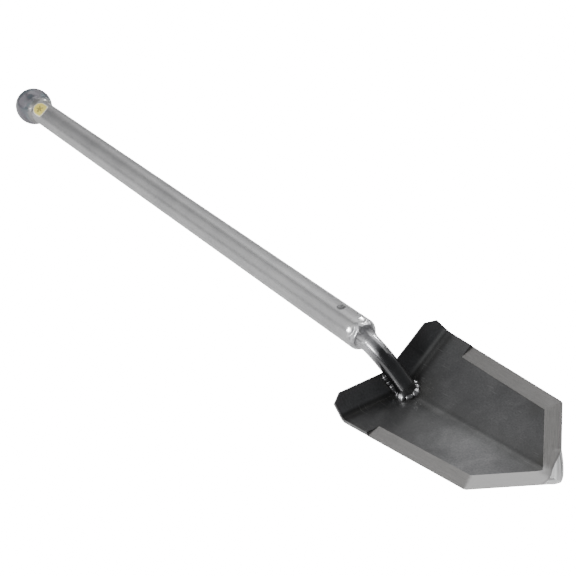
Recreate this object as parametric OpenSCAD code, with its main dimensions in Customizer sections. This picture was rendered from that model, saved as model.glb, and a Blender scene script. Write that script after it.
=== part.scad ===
// All-welded detecting shovel: a ball-topped tube handle, a bent solid shank and a
// folded, ground steel blade.  It lies at rest on the rounded heel of one flank and on
// its ball, with +Z up, the blade towards +X and the origin under the middle of it.

/* [Handle] */
// Outside diameter of the handle tube
tube_d = 28.6; // [24:0.1:34]
// Wall thickness of the handle tube
tube_wall = 2.1; // [1.5:0.1:2.6]
// Distance from the lower end of the tube to the centre of the ball
ball_reach = 656; // [400:1:900]
// Outside diameter of the ball grip
ball_d = 46; // [40:0.5:56]
// Wall thickness of the ball grip
ball_wall = 3; // [2:0.1:5]
// How far the tube goes into the opening of the ball
ball_socket = 3; // [1:0.5:6]
// Section radius of the weld round the ball
ball_weld_r = 3.4; // [2:0.1:4]

/* [Shank] */
// Diameter of the solid shank
shank_d = 17.5; // [15:0.1:19]
// Radius of the shank's bend, on its centre line
bend_r = 58.5; // [45:0.5:80]
// How far inside the tube the bend starts
bend_inset = 11; // [6:0.5:14]
// Angle that the shank is bent down through
shank_drop = 48; // [44:0.5:52]
// Length of the straight tail below the bend
shank_tail = 24; // [22:0.5:26]
// Length of the shank's straight stub inside the handle tube
stub_len = 64; // [40:1:120]
// Length of the spacer sleeve between the shank and the tube
sleeve_len = 50; // [30:1:60]
// Distance of the plug welds from the lower end of the tube
plug_x = 25; // [18:0.5:40]
// Diameter of the plug welds
plug_d = 8; // [5:0.5:10]
// Direction of the upper plug weld round the tube, from the right hand side
plug_turn = 74; // [60:1:90]

/* [Blade] */
// Thickness of the blade's plate
plate_t = 3.2; // [2.5:0.1:4]
// Length from the heel fold to the tip, along the keel
blade_len = 180; // [160:1:200]
// Length from the heel fold to the shoulders
shoulder_at = 138.5; // [120:0.5:150]
// Half width of the flat plate at the heel fold
heel_half = 64.6; // [55:0.1:72]
// Half width of the flat plate at the shoulders
shoulder_half = 54.2; // [45:0.1:60]
// Angle that each flank rises at from the keel
flank_angle = 17; // [12:0.5:22]
// Inside radius of the bend along the keel
keel_r = 16; // [8:0.5:16]
// Angle between the keel and the handle's axis
blade_lift = 10.3; // [8:0.1:14]
// How far the heel fold lies ahead of the tube's end
heel_x = 43.8; // [40:0.1:48]
// How far the heel fold lies below the handle's axis
heel_drop = 44.1; // [40:0.1:48]
// Amount cut off the point of the blade
nose_cut = 2.2; // [1:0.1:5]

/* [Ground edge] */
// Width of the ground bevel
bevel_w = 13.2; // [8:0.1:16]
// Thickness left at the cutting edge
edge_t = 0.7; // [0.4:0.1:1.2]
// Distance from the heel fold to the start of the bevel
bevel_from = 30; // [20:0.5:50]

/* [Ears] */
// Height of the ears above the heel fold, along the plate
ear_h = 21.8; // [15:0.1:30]
// Angle that the ears are folded up through
ear_angle = 56.7; // [45:0.1:70]
// Inside radius of the heel fold
fold_r = 4; // [2:0.5:6]
// Width cut off the outer top corner of each ear
corner_w = 8.8; // [4:0.1:14]
// Height cut off the outer top corner of each ear
corner_h = 7.1; // [4:0.1:12]
// Half width of the slot between the ears
slot_half = 5.5; // [5:0.1:6]

/* [Welds] */
// Section radius of the beads that join the shank to the ears
side_bead_r = 3.6; // [2.5:0.1:4.5]
// Radius of the weld metal under the shank's foot
foot_r = 9.4; // [9:0.1:10]
// Section radius of the bead round the shank's foot
toe_bead_r = 3; // [2:0.1:4]
// Depth of the weld that fills the slot, behind the shank
heel_weld_t = 3.4; // [2:0.1:5]
// How far the foot's weld reaches up the shank
toe_top = 2.5; // [2.3:0.1:5]
// Length of the domed weld that closes the end of the tube
dome_len = 8; // [6:0.5:10]
// Edge radius of the domed weld
dome_r = 5.6; // [4:0.1:6]

/* [Label] */
// Length of the oval label, along the tube
label_l = 28; // [15:0.5:40]
// Width of the oval label, round the tube
label_w = 19; // [10:0.5:26]
// Distance of the label's middle from the ball's centre
label_at = 39; // [34:0.5:80]
// Direction of the label round the tube, from the right hand side
label_turn = 109; // [60:1:160]
// Thickness of the label
label_t = 0.25; // [0.15:0.05:0.5]

/* [Hidden] */
$fn = 96;

// Reach of half-spaces, and how far cutting shapes run past the metal.
far = 400;
over = 20;
// Play between pieces that fit into each other.
gap = 0.1;
// Each bend stands this much proud of the straight metal, which runs this far into it.
proud = 0.05;
lap = 0.5;
tube_r = tube_d / 2;
bore_r = tube_r - tube_wall;
ball_r = ball_d / 2;
shank_r = shank_d / 2;
tail_r = shank_r - proud;
joint_x = -ball_reach + sqrt(ball_r * ball_r - tube_r * tube_r);
tube_top = joint_x - ball_socket;
// The ball's weld sits a little ahead of the joint and proud of the tube.
ball_weld_ahead = 0.8;
ball_weld_out = 0.4;
plug_crown = 0.5;
// Where the shank's foot meets the keel, and the places of the beads round it.
foot_x = 4.5;
toe_bead_z = 1.5;
side_bead_back = 6;
side_bead_out = 9;
side_bead_stop = 1.5;
fold_run = fold_r * tan(ear_angle / 2);
keel_run = keel_r * tan(flank_angle);
bevel_tilt = atan((plate_t - edge_t) / bevel_w);
side_turn = atan((heel_half - shoulder_half) / (shoulder_at - fold_run));
tip_turn = atan(shoulder_half / (blade_len - shoulder_at));

// Directions of the keel, of the keel's normal, and of a flank (side -1 is left).
keel = [cos(blade_lift), 0, sin(blade_lift)];
rise = [-sin(blade_lift), 0, cos(blade_lift)];
function across(side) = [0, side * cos(flank_angle), 0] + sin(flank_angle) * rise;
function flank_up(side) = [0, -side * sin(flank_angle), 0] + cos(flank_angle) * rise;
function ear_up(side) = -cos(ear_angle) * keel + sin(ear_angle) * flank_up(side);
heel = [heel_x, 0, -heel_drop];

// The floor touches the ball and the round underside of the left flank's heel fold.
fold_line = across(-1);
fold_centre = heel + fold_run * keel + fold_r * flank_up(-1);
reach = [-ball_reach, 0, 0] - fold_centre;
reach_flat = reach - (reach * fold_line) * fold_line;
floor_lean = acos((ball_r - fold_r - plate_t - proud) / norm(reach_flat));
toward = reach_flat / norm(reach_flat);
floor_up = cos(floor_lean) * toward + sin(floor_lean) * cross(toward, fold_line);
roll = atan2(floor_up[1], floor_up[2]);
pitch = -asin(floor_up[0]);

// A point of the tool after it is rolled and pitched to lie on the floor.
function rolled(p) = [p[0], p[1] * cos(roll) - p[2] * sin(roll),
    p[1] * sin(roll) + p[2] * cos(roll)];
function pitched(p) = [p[0] * cos(pitch) + p[2] * sin(pitch), p[1],
    p[2] * cos(pitch) - p[0] * sin(pitch)];
function laid(p) = pitched(rolled(p));

// The outermost corners of an ear and of a flank, at a depth in the plate.
function ear_corner(side, depth) = heel
    + (heel_half + (ear_h - corner_h) * tan(side_turn)) * across(side)
    + (ear_h - corner_h) * ear_up(side)
    - depth * (sin(ear_angle) * keel + cos(ear_angle) * flank_up(side));
function heel_corner(side, depth) = heel + fold_run * keel + heel_half * across(side)
    - depth * flank_up(side);
ball_laid = laid([-ball_reach, 0, 0]);
tip_laid = laid(heel + (blade_len - nose_cut) * keel - plate_t * rise);
side_reach = [for (side = [-1, 1], depth = [0, plate_t])
    each [laid(ear_corner(side, depth))[1], laid(heel_corner(side, depth))[1]]];
mid_x = (ball_laid[0] - ball_r + tip_laid[0]) / 2;
mid_y = (min(side_reach) + max(side_reach)) / 2;
low_z = ball_laid[2] - ball_r;

// Places a part of the tool as it lies on the floor.
module lay() {
    translate([-mid_x, -mid_y, -low_z])
        rotate([roll, pitch, 0])
            children();
}

// Turns a shape made along +Z to lie along the handle, starting at a distance x.
module on_handle(x) {
    translate([x, 0, 0])
        rotate([0, 90, 0])
            children();
}

// The blade's own frame: origin at the heel fold, +X along the keel.
module on_blade() {
    translate(heel)
        rotate([0, -blade_lift, 0])
            children();
}

// The frame of one flank, with +Y out along its face.
module on_flank(side) {
    on_blade()
        mirror([0, side < 0 ? 1 : 0, 0])
            rotate([flank_angle, 0, 0])
                children();
}

// The frame of the shank's foot: +Z up the shank, -X towards the ears.
module on_foot() {
    translate([-bend_inset, 0, -bend_r])
        rotate([0, shank_drop, 0])
            translate([shank_tail, 0, bend_r])
                rotate([0, -90, 0])
                    children();
}

// ---- Handle ----

module plug_hole(turn, from, to, width) {
    translate([-plug_x, 0, 0])
        rotate([turn - 90, 0, 0])
            translate([0, 0, from])
                cylinder(h = to - from, d = width);
}

module handle_tube() {
    color("#9b9c9e")
        lay()
            difference() {
                on_handle(tube_top) cylinder(h = -tube_top, r = tube_r);
                on_handle(tube_top - over) cylinder(h = 2 * over - tube_top, r = bore_r);
                plug_hole(plug_turn, 0, tube_d, plug_d);
                plug_hole(plug_turn + 180, 0, tube_d, plug_d);
            }
}

module ball_grip() {
    color("#85878c")
        lay()
            difference() {
                translate([-ball_reach, 0, 0]) sphere(r = ball_r);
                translate([-ball_reach, 0, 0]) sphere(r = ball_r - ball_wall);
                on_handle(-ball_reach) cylinder(h = ball_d, r = tube_r + gap / 2);
            }
}

module ball_weld() {
    color("#97989a")
        lay()
            difference() {
                on_handle(joint_x + ball_weld_ahead)
                    rotate_extrude()
                        translate([tube_r + ball_weld_out, 0])
                            circle(r = ball_weld_r);
                translate([-ball_reach, 0, 0]) sphere(r = ball_r);
                on_handle(joint_x - over) cylinder(h = 2 * over, r = tube_r);
            }
}

module label_outline() {
    square([label_l - label_w, label_w], center = true);
    for (end = [-1, 1])
        translate([end * (label_l - label_w) / 2, 0])
            circle(d = label_w);
}

module ball_label() {
    color("#cdbb62")
        lay()
            intersection() {
                translate([label_at - ball_reach, 0, 0])
                    rotate([label_turn - 90, 0, 0])
                        linear_extrude(height = tube_d)
                            label_outline();
                difference() {
                    on_handle(-ball_reach) cylinder(h = 2 * label_at, r = tube_r + label_t);
                    on_handle(-ball_reach - over) cylinder(h = 2 * label_at + 2 * over, r = tube_r);
                }
            }
}

// ---- Shank and the end of the tube ----

module shank_solid() {
    on_handle(-stub_len) cylinder(h = stub_len - bend_inset, r = shank_r);
    translate([-bend_inset, 0, -bend_r])
        rotate([-90, -90, 0])
            rotate_extrude(angle = shank_drop)
                translate([bend_r, 0])
                    circle(r = shank_r);
    on_foot() cylinder(h = shank_tail + lap, r = tail_r);
}

module shank() {
    color("#3c3c40")
        lay()
            shank_solid();
}

module shank_sleeve() {
    sleeve_end = bend_inset + 1;
    color("#808286")
        lay()
            difference() {
                on_handle(-sleeve_end - sleeve_len) cylinder(h = sleeve_len, r = bore_r - gap);
                on_handle(-sleeve_end - sleeve_len - over)
                    cylinder(h = sleeve_len + 2 * over, r = shank_r + gap);
            }
}

module tube_end_weld() {
    color("#8c8d90")
        lay()
            difference() {
                on_handle(0)
                    rotate_extrude() {
                        square([tube_r, dome_len - dome_r]);
                        square([tube_r - dome_r, dome_len]);
                        translate([tube_r - dome_r, dome_len - dome_r])
                            intersection() {
                                circle(r = dome_r);
                                square(dome_r);
                            }
                    }
                shank_solid();
            }
}

// A weld that fills a hole in the tube down to the sleeve, domed a little proud.
module plug_weld(turn) {
    intersection() {
        plug_hole(turn, bore_r - gap, tube_d, plug_d - gap);
        translate([-plug_x, 0, 0])
            rotate([turn - 90, 0, 0])
                translate([0, 0, tube_r + plug_crown - plug_d])
                    sphere(r = plug_d);
    }
}

module plug_weld_upper() {
    color("#6f7073")
        lay()
            plug_weld(plug_turn);
}

module plug_weld_lower() {
    color("#6f7073")
        lay()
            plug_weld(plug_turn + 180);
}

// ---- Blade ----

// Cross-section of the two flanks and the round bend along the keel, drawn below the
// inside faces to a given depth.
module trough_section(depth) {
    for (side = [0, 1])
        mirror([side, 0])
            rotate(flank_angle)
                translate([keel_run - lap, -depth])
                    square([heel_half + over, depth]);
    translate([0, keel_r / cos(flank_angle)])
        intersection() {
            difference() {
                circle(r = keel_r + depth + proud);
                circle(r = keel_r - proud);
            }
            polygon([[0, 0], [-far * tan(flank_angle), -far], [far * tan(flank_angle), -far]]);
        }
}

// The trough ahead of the heel fold, from a distance along the keel.
module trough(from, depth) {
    on_blade()
        translate([from, 0, 0])
            rotate([90, 0, 90])
                linear_extrude(height = blade_len - from)
                    trough_section(depth);
}

// The cut-out shape of the flat plate, square to each flank, ahead of the heel fold.
module planform() {
    for (side = [-1, 1])
        intersection() {
            on_flank(side)
                translate([0, 0, -over])
                    linear_extrude(height = 2 * over)
                        polygon([[0, -over], [0, heel_half - proud], [fold_run, heel_half - proud],
                            [shoulder_at, shoulder_half], [blade_len, 0], [blade_len, -over]]);
            on_blade()
                translate([0, side < 0 ? -far : 0, -far / 2])
                    cube(far);
        }
}

// What the grinder takes off along one edge: all that is above a plane that rises
// from the edge towards the keel.
module edge_cutter(at, turn, start, run) {
    translate([at[0], at[1], edge_t - plate_t])
        rotate([0, 0, -turn])
            rotate([-bevel_tilt, 0, 0])
                translate([start, -3 * over, 0])
                    cube([run, 4 * over, 2 * over]);
}

module flank_cutters(side) {
    bevel_out = heel_half - (bevel_from - fold_run) * tan(side_turn);
    intersection() {
        on_flank(side) {
            edge_cutter([bevel_from, bevel_out], side_turn, 0, far / 2);
            edge_cutter([shoulder_at, shoulder_half], tip_turn, -far / 4, far / 2);
        }
        on_blade()
            translate([bevel_from - 4, side < 0 ? -far : 0, -far / 2])
                cube(far);
    }
}

// One folded-up ear with its round fold.
module ear(side) {
    top_out = heel_half + (ear_h - corner_h) * tan(side_turn);
    on_flank(side) {
        rotate([0, 0, 180])
            rotate([90, 0, 0])
                translate([-fold_run, fold_r, 0])
                    linear_extrude(height = heel_half)
                        intersection() {
                            difference() {
                                circle(r = fold_r + plate_t + proud);
                                circle(r = fold_r - proud);
                            }
                            polygon([[0, 0], [0, -far], [far * tan(ear_angle / 2), -far],
                                [far * sin(ear_angle), -far * cos(ear_angle)]]);
                        }
        rotate([0, ear_angle, 0])
            mirror([1, 0, 0])
                translate([0, 0, -plate_t])
                    linear_extrude(height = plate_t)
                        polygon([[fold_run - lap, 0], [fold_run - lap, heel_half - proud],
                            [fold_run, heel_half - proud], [ear_h - corner_h, top_out],
                            [ear_h, top_out - corner_w], [ear_h, 0]]);
    }
}

module slot_cutter() {
    on_blade()
        translate([-far / 2, -slot_half, -far / 4])
            cube([far / 2 + fold_run + 1, 2 * slot_half, far / 2]);
}

module blade_solid() {
    difference() {
        union() {
            intersection() {
                trough(fold_run - lap, plate_t);
                planform();
            }
            difference() {
                for (side = [-1, 1])
                    ear(side);
                slot_cutter();
            }
        }
        for (side = [-1, 1])
            flank_cutters(side);
        on_blade()
            translate([blade_len - nose_cut, -over, -2 * over])
                cube([over, 2 * over, 4 * over]);
    }
}

module blade() {
    color("#47474a")
        lay()
            blade_solid();
}

// ---- Blade welds ----

// All that lies behind an ear's front face and below a flank's inside face, with the
// round inside corner of the fold between them.
module behind_section() {
    toward_ear = [cos(ear_angle), sin(ear_angle)];
    polygon([[0, 0], far * toward_ear, [far, -far], [-far, -far], [-far, 0]]);
    difference() {
        polygon([[0, 0], [-fold_run, 0], [-fold_run, fold_r], fold_run * toward_ear]);
        translate([-fold_run, fold_r])
            circle(r = fold_r - proud);
    }
}

module behind_faces(side) {
    on_flank(side)
        translate([0, -2 * over, 0])
            rotate([90, 0, 180])
                linear_extrude(height = 5 * over)
                    behind_section();
}

// The bead between the shank's side and the front of one ear.
module side_weld(side) {
    bead_to = ear_h - side_bead_stop;
    difference() {
        on_foot()
            translate([-side_bead_back, side * side_bead_out, 0]) {
                translate([0, 0, toe_top]) cylinder(h = bead_to - toe_top, r = side_bead_r);
                translate([0, 0, bead_to]) sphere(r = side_bead_r);
            }
        behind_faces(side);
        on_foot() cylinder(h = 2 * ear_h, r = tail_r);
    }
}

module blade_weld_left() {
    color("#54555a")
        lay()
            side_weld(-1);
}

module blade_weld_right() {
    color("#54555a")
        lay()
            side_weld(1);
}

// The weld metal under the cut end of the shank, with a bead round its foot.
module blade_weld_toe() {
    color("#5c5d62")
        lay()
            difference() {
                on_blade()
                    translate([foot_x, 0, 0]) {
                        translate([0, 0, -over]) cylinder(h = 2 * over, r = foot_r);
                        translate([0, 0, toe_bead_z])
                            rotate_extrude()
                                translate([foot_r, 0])
                                    circle(r = toe_bead_r);
                    }
                trough(-2 * over, 2 * over);
                on_blade()
                    translate([fold_run - 2 * over, -2 * over, -2 * over])
                        cube([2 * over, 4 * over, 4 * over]);
                on_foot() {
                    translate([-2 * over, -2 * over, toe_top]) cube([4 * over, 4 * over, 3 * over]);
                    cylinder(h = 2 * toe_top, r = tail_r);
                }
            }
}

// The weld that fills the slot behind the shank.
module blade_weld_heel() {
    color("#54555a")
        lay()
            on_foot()
                translate([0, 0, toe_top])
                    linear_extrude(height = ear_h - toe_top)
                        difference() {
                            translate([slot_half - shank_r - heel_weld_t, 0])
                                circle(r = slot_half - gap);
                            circle(r = tail_r);
                        }
}

handle_tube();
ball_grip();
ball_weld();
ball_label();
shank();
shank_sleeve();
tube_end_weld();
plug_weld_upper();
plug_weld_lower();
blade();
blade_weld_left();
blade_weld_right();
blade_weld_toe();
blade_weld_heel();
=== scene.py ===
import math

import bpy
import numpy as np
from mathutils import Matrix, Vector, geometry, noise


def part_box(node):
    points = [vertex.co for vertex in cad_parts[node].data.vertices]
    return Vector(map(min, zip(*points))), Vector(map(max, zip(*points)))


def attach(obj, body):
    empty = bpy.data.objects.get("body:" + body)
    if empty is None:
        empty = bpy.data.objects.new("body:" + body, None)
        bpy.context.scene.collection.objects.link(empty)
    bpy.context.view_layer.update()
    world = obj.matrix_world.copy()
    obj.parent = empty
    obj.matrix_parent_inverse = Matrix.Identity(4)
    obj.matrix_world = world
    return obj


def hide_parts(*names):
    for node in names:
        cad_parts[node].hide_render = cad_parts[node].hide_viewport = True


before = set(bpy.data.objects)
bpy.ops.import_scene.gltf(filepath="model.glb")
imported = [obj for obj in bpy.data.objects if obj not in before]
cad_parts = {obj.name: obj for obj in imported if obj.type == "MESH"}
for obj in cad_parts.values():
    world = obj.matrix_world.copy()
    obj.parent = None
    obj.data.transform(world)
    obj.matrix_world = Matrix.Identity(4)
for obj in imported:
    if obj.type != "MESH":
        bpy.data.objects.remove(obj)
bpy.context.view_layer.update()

MM = 0.001
TAU = 2 * math.pi

# ---------------------------------------------------------------- sizes, in mm
# Handle: a tube along X from the ball to its lower end at the origin.
TUBE_R = 14.3
BALL_REACH = 656.0
BALL_R = 23.0
BALL_JOINT = -BALL_REACH + math.sqrt(BALL_R**2 - TUBE_R**2)
PLUG_X = -25.0
PLUG_R = 4.0
PLUG_TURN = math.radians(74.0)
LABEL_L = 28.0
LABEL_W = 19.0
LABEL_AT = 39.0
LABEL_TURN = math.radians(109.0)

# The weld at the tube's end, and two spots where the grinder flattened it: the middle
# of each along and round the tube, and the way it faces.
DOME_LEN = 8.0
DOME_R = 5.6
GROUND_SPOTS = [(-0.7, math.radians(128.0), (0.40, -0.60, 0.69)),
                (-0.3, math.radians(64.0), (0.36, 0.51, 0.78))]
SPOT_R = 18.0
SPOT_REACH = 9.0
SPOT_FADE = 5.4
SPOT_CORE = 3.0

# Shank: one bend, then a straight tail down to the blade.
SHANK_R = 8.75
BEND_R = 58.5
BEND_INSET = 11.0
SHANK_DROP = math.radians(48.0)
SHANK_TAIL = 24.0

# Blade: a plate folded along its keel and at the heel, where the ears turn up. HEEL is
# the point where the keel's line meets the ears' fold.
PLATE_T = 3.2
BLADE_LEN = 180.0
SHOULDER_AT = 138.5
HEEL_HALF = 64.6
SHOULDER_HALF = 54.2
FLANK = math.radians(17.0)
KEEL_R = 16.0
LIFT = math.radians(10.3)
HEEL = np.array([43.8, 0.0, -44.1])
BEVEL_W = 13.2
BEVEL_FROM = 30.0
EDGE_T = 0.7
EAR_H = 21.8
EAR = math.radians(56.7)
FOLD_R = 4.0
CORNER_W = 8.8
CORNER_H = 7.1
SLOT_HALF = 5.5

# The point was blunted by hand, more on the right (1) than on the left (-1): how far
# along each tip edge, how far it stands out, and the facet ground on it.
BLUNT_RUN = {1: 27.0, -1: 7.0}
BLUNT_OUT = {1: 1.7, -1: 0.7}
LAND = 0.4
FACET_W = 10.0
FACET_SPREAD = {1: 0.4, -1: 0.85}
FACET_STEEP = 0.3

# Sooty spots on the blade: along, out, width and strength.
SOOT_SPOTS = [(158.0, 6.0, 8.0, 0.95), (124.0, 38.0, 7.0, 0.5), (18.0, 10.0, 12.0, 0.7)]

# Spacing of the blade mesh's points, at its edges and elsewhere.
FINE = 1.2
COARSE = 2.0

FOLD_RUN = FOLD_R * math.tan(EAR / 2)
KEEL_RUN = KEEL_R * math.tan(FLANK)
SIDE_TURN = math.atan((HEEL_HALF - SHOULDER_HALF) / (SHOULDER_AT - FOLD_RUN))
TIP_TURN = math.atan(SHOULDER_HALF / (BLADE_LEN - SHOULDER_AT))
BEVEL_SLOPE = (PLATE_T - EDGE_T) / BEVEL_W
BEVEL_HALF = HEEL_HALF - (BEVEL_FROM - FOLD_RUN) * math.tan(SIDE_TURN)

# -------------------------------------------------- where the tool lies
# The tool's own frame has its origin at the lower end of the tube, +X along the
# handle towards the blade and +Z on the hollow side of the blade.
ASIDE = np.array([0.0, 1.0, 0.0])
KEEL = np.array([math.cos(LIFT), 0.0, math.sin(LIFT)])
RISE = np.array([-math.sin(LIFT), 0.0, math.cos(LIFT)])


def across(side):
    return np.array([0.0, side * math.cos(FLANK), 0.0]) + math.sin(FLANK) * RISE


def flank_up(side):
    return np.array([0.0, -side * math.sin(FLANK), 0.0]) + math.cos(FLANK) * RISE


def lie_down():
    """The turn from the tool's frame to the floor it lies on: on the ball and on the
    round underside of the left flank's fold."""
    line = across(-1)
    centre = HEEL + FOLD_RUN * KEEL + FOLD_R * flank_up(-1)
    reach = np.array([-BALL_REACH, 0.0, 0.0]) - centre
    flat = reach - (reach @ line) * line
    size = np.linalg.norm(flat)
    lean = math.acos((BALL_R - FOLD_R - PLATE_T) / size)
    toward = flat / size
    up = math.cos(lean) * toward + math.sin(lean) * np.cross(toward, line)
    roll = math.atan2(up[1], up[2])
    pitch = -math.asin(up[0])
    return Matrix.Rotation(pitch, 4, "Y") @ Matrix.Rotation(roll, 4, "X")


turn = lie_down()
ball_low, ball_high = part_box("ball_grip")
ball_at = Vector((ball_low[0] + BALL_R * MM, (ball_low[1] + ball_high[1]) / 2,
                  ball_low[2] + BALL_R * MM))
TOOL = Matrix.Translation(ball_at - turn @ Vector((-BALL_REACH * MM, 0, 0))) @ turn


# ---------------------------------------------------------------- mesh helpers
def add_object(name, data):
    obj = bpy.data.objects.new(name, data)
    bpy.context.scene.collection.objects.link(obj)
    return obj


def piece(name, node, slot, verts, faces, sharp=40.0, **values):
    """A shown piece in place of a CAD node, from points in the tool's frame, in mm. The
    slot picks its steel. Each extra value is an attribute of the points."""
    mesh = bpy.data.meshes.new(name)
    points = np.asarray(verts, dtype=float) * MM
    mesh.from_pydata(points.tolist(), [], [list(f) for f in faces])
    mesh.transform(TOOL)
    mesh.update()
    mesh.validate()
    mesh.shade_smooth()
    mesh.set_sharp_from_angle(angle=math.radians(sharp))
    for key, data in {"tool": points, **values}.items():
        data = np.asarray(data, dtype=np.float32)
        kind, field = ("FLOAT_VECTOR", "vector") if data.ndim > 1 else ("FLOAT", "value")
        mesh.attributes.new(key, kind, "POINT").data.foreach_set(field, data.ravel())
    mesh.materials.append(STEEL[slot])
    obj = add_object(name, mesh)
    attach(obj, "root")
    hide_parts(node)


def turned(x, radius, angle):
    """A point at a radius and an angle round the X axis."""
    return (x, radius * math.cos(angle), radius * math.sin(angle))


def add_ring(verts, points):
    """Add points to a list, and give their numbers."""
    start = len(verts)
    verts.extend(points)
    return list(range(start, len(verts)))


def turns(count):
    """Equal steps round a circle."""
    return [TAU * k / count for k in range(count)]


def revolve(profile, count, axis_x=0.0, wobble=None):
    """Points and faces of a profile of (x, radius) pairs turned round the X axis. A
    radius of zero makes a closed end."""
    verts, rings = [], []
    for x, radius in profile:
        if radius < 1e-6:
            rings.append(add_ring(verts, [(axis_x + x, 0.0, 0.0)]) * count)
            continue
        rings.append(add_ring(verts, [
            turned(axis_x + x, radius + (wobble(x, a) if wobble else 0.0), a)
            for a in turns(count)]))
    return np.array(verts), stitch(rings)


def stitch(rings):
    """Faces between neighbouring closed rings of point numbers."""
    faces = []
    for a, b in zip(rings, rings[1:]):
        for k in range(len(a)):
            m = (k + 1) % len(a)
            corners = [a[k], a[m], b[m], b[k]]
            kept = [c for i, c in enumerate(corners) if c != corners[i - 1]]
            if len(kept) > 2:
                faces.append(kept)
    return faces


def fbm(p, scale, octaves=3, seed=0.0):
    """Smooth noise, about -1 to 1, of a point in mm."""
    total, size = 0.0, 1.0
    v = Vector(p) / scale + Vector((seed, seed * 1.7, seed * 0.3))
    for _ in range(octaves):
        total += noise.noise(v) * size
        v = v * 2.03
        size *= 0.5
    return total


# ---------------------------------------------------------------- materials
class Nodes:
    """A short way to write a material's node tree. Its coordinates are the tool's own,
    in metres. A colour may be written as one number, for a grey."""

    def __init__(self, name, coords="tool"):
        self.material = bpy.data.materials.new(name)
        self.material.use_nodes = True
        self.tree = self.material.node_tree
        self.tree.nodes.clear()
        out = self.tree.nodes.new("ShaderNodeOutputMaterial")
        self.shader = self.tree.nodes.new("ShaderNodeBsdfPrincipled")
        self.link(self.shader.outputs["BSDF"], out.inputs["Surface"])
        if coords == "tool":
            self.coords = self.attribute("tool", "Vector")
        else:
            self.coords = self.tree.nodes.new("ShaderNodeTexCoord").outputs["Object"]

    def link(self, a, b):
        self.tree.links.new(a, b)

    def feed(self, socket, value):
        if isinstance(value, bpy.types.NodeSocket):
            self.link(value, socket)
        else:
            socket.default_value = rgba(value) if socket.type == "RGBA" else value

    def node(self, kind, inputs=(), **settings):
        made = self.tree.nodes.new(kind)
        for key, value in settings.items():
            setattr(made, key, value)
        for key, value in dict(inputs).items():
            self.feed(made.inputs[key], value)
        return made

    def scaled(self, size, source=None, turn=0.0):
        inputs = {"Vector": source or self.coords, "Rotation": (0.0, 0.0, turn), "Scale": size}
        return self.node("ShaderNodeMapping", inputs).outputs["Vector"]

    def noise(self, scale, detail=4.0, rough=0.55, distortion=0.0, vector=None):
        inputs = {"Vector": vector or self.coords, "Scale": scale, "Detail": detail,
                  "Roughness": rough, "Distortion": distortion}
        return self.node("ShaderNodeTexNoise", inputs).outputs["Fac"]

    def ramp(self, value, stops):
        made = self.node("ShaderNodeValToRGB", {"Fac": value})
        elements = made.color_ramp.elements
        while len(elements) < len(stops):
            elements.new(0.5)
        for element, (at, colour) in zip(elements, stops):
            element.position = at
            element.color = rgba(colour)
        return made.outputs["Color"]

    def vary(self, value, low, high):
        """From one shade where a noise is weak to another where it is strong."""
        return self.ramp(value, [(0.3, low), (0.7, high)])

    def math(self, how, a, b=0.0, c=0.0, clamp=False):
        made = self.node("ShaderNodeMath", {0: a, 1: b, 2: c}, operation=how, use_clamp=clamp)
        return made.outputs[0]

    def times(self, a, b, clamp=False):
        return self.math("MULTIPLY", a, b, clamp=clamp)

    def line(self, value, slope, start):
        """value * slope + start."""
        return self.math("MULTIPLY_ADD", value, slope, start)

    def rise(self, value, slope, start):
        """The same, kept between 0 and 1."""
        return self.math("MULTIPLY_ADD", value, slope, start, clamp=True)

    def hump(self, value, centre, width):
        """A bell that is 1 where a value in m is at the centre. Centre and width in mm."""
        share = self.times(self.math("SUBTRACT", value, centre * MM), 1 / (width * MM))
        return self.math("POWER", math.e, self.times(self.times(share, share), -1.0))

    def mix(self, how, factor, a, b):
        made = self.node("ShaderNodeMix", data_type="RGBA", blend_type=how)
        for index, value in ((0, factor), (6, a), (7, b)):
            self.feed(made.inputs[index], value)
        return made.outputs[2]

    def blend(self, share, a, b):
        return self.mix("MIX", share, a, b)

    def gain(self, shade, amount):
        return self.mix("MULTIPLY", 1.0, shade, amount)

    def attribute(self, name, output="Fac"):
        return self.node("ShaderNodeAttribute", attribute_name=name).outputs[output]

    def axes(self, vector):
        """The X and the Y of a vector."""
        made = self.node("ShaderNodeSeparateXYZ", {0: vector})
        return made.outputs["X"], made.outputs["Y"]

    def bump(self, height, strength, distance, after=None):
        """Height as a bump, with its distance in mm, on top of an earlier bump."""
        inputs = {"Height": height, "Strength": strength, "Distance": distance * MM}
        if after is not None:
            inputs["Normal"] = after
        return self.node("ShaderNodeBump", inputs).outputs["Normal"]

    def finish(self, **sockets):
        for name, value in sockets.items():
            self.feed(self.shader.inputs[name.replace("_", " ")], value)
        return self.material


def rgba(colour):
    return (*colour, 1.0) if isinstance(colour, tuple) else (colour, colour, colour, 1.0)


def tube_steel():
    n = Nodes("satin_tube_steel")
    grain = n.noise(900.0, 3.0, 0.6, vector=n.scaled((0.05, 1.0, 1.0)))
    cloud = n.noise(26.0, 4.0, 0.6)
    speck = n.ramp(n.noise(240.0, 2.0, 0.5), [(0.0, 0.0), (0.66, 0.0), (0.74, 1.0)])
    shade = n.vary(cloud, (0.39, 0.39, 0.395), (0.48, 0.48, 0.482))
    shade = n.mix("MULTIPLY", 0.35, shade, n.ramp(grain, [(0.25, 0.72), (0.75, 1.0)]))
    shade = n.blend(n.times(speck, 0.25), shade, (0.22, 0.21, 0.2))
    rough = n.vary(n.noise(420.0, 2.0, 0.5), 0.34, 0.44)
    normal = n.bump(cloud, 0.25, 0.25, n.bump(grain, 0.35, 0.03))
    return n.finish(Base_Color=shade, Metallic=1.0, Roughness=rough, Normal=normal,
                    Coat_Weight=0.35, Coat_Roughness=0.18)


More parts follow.
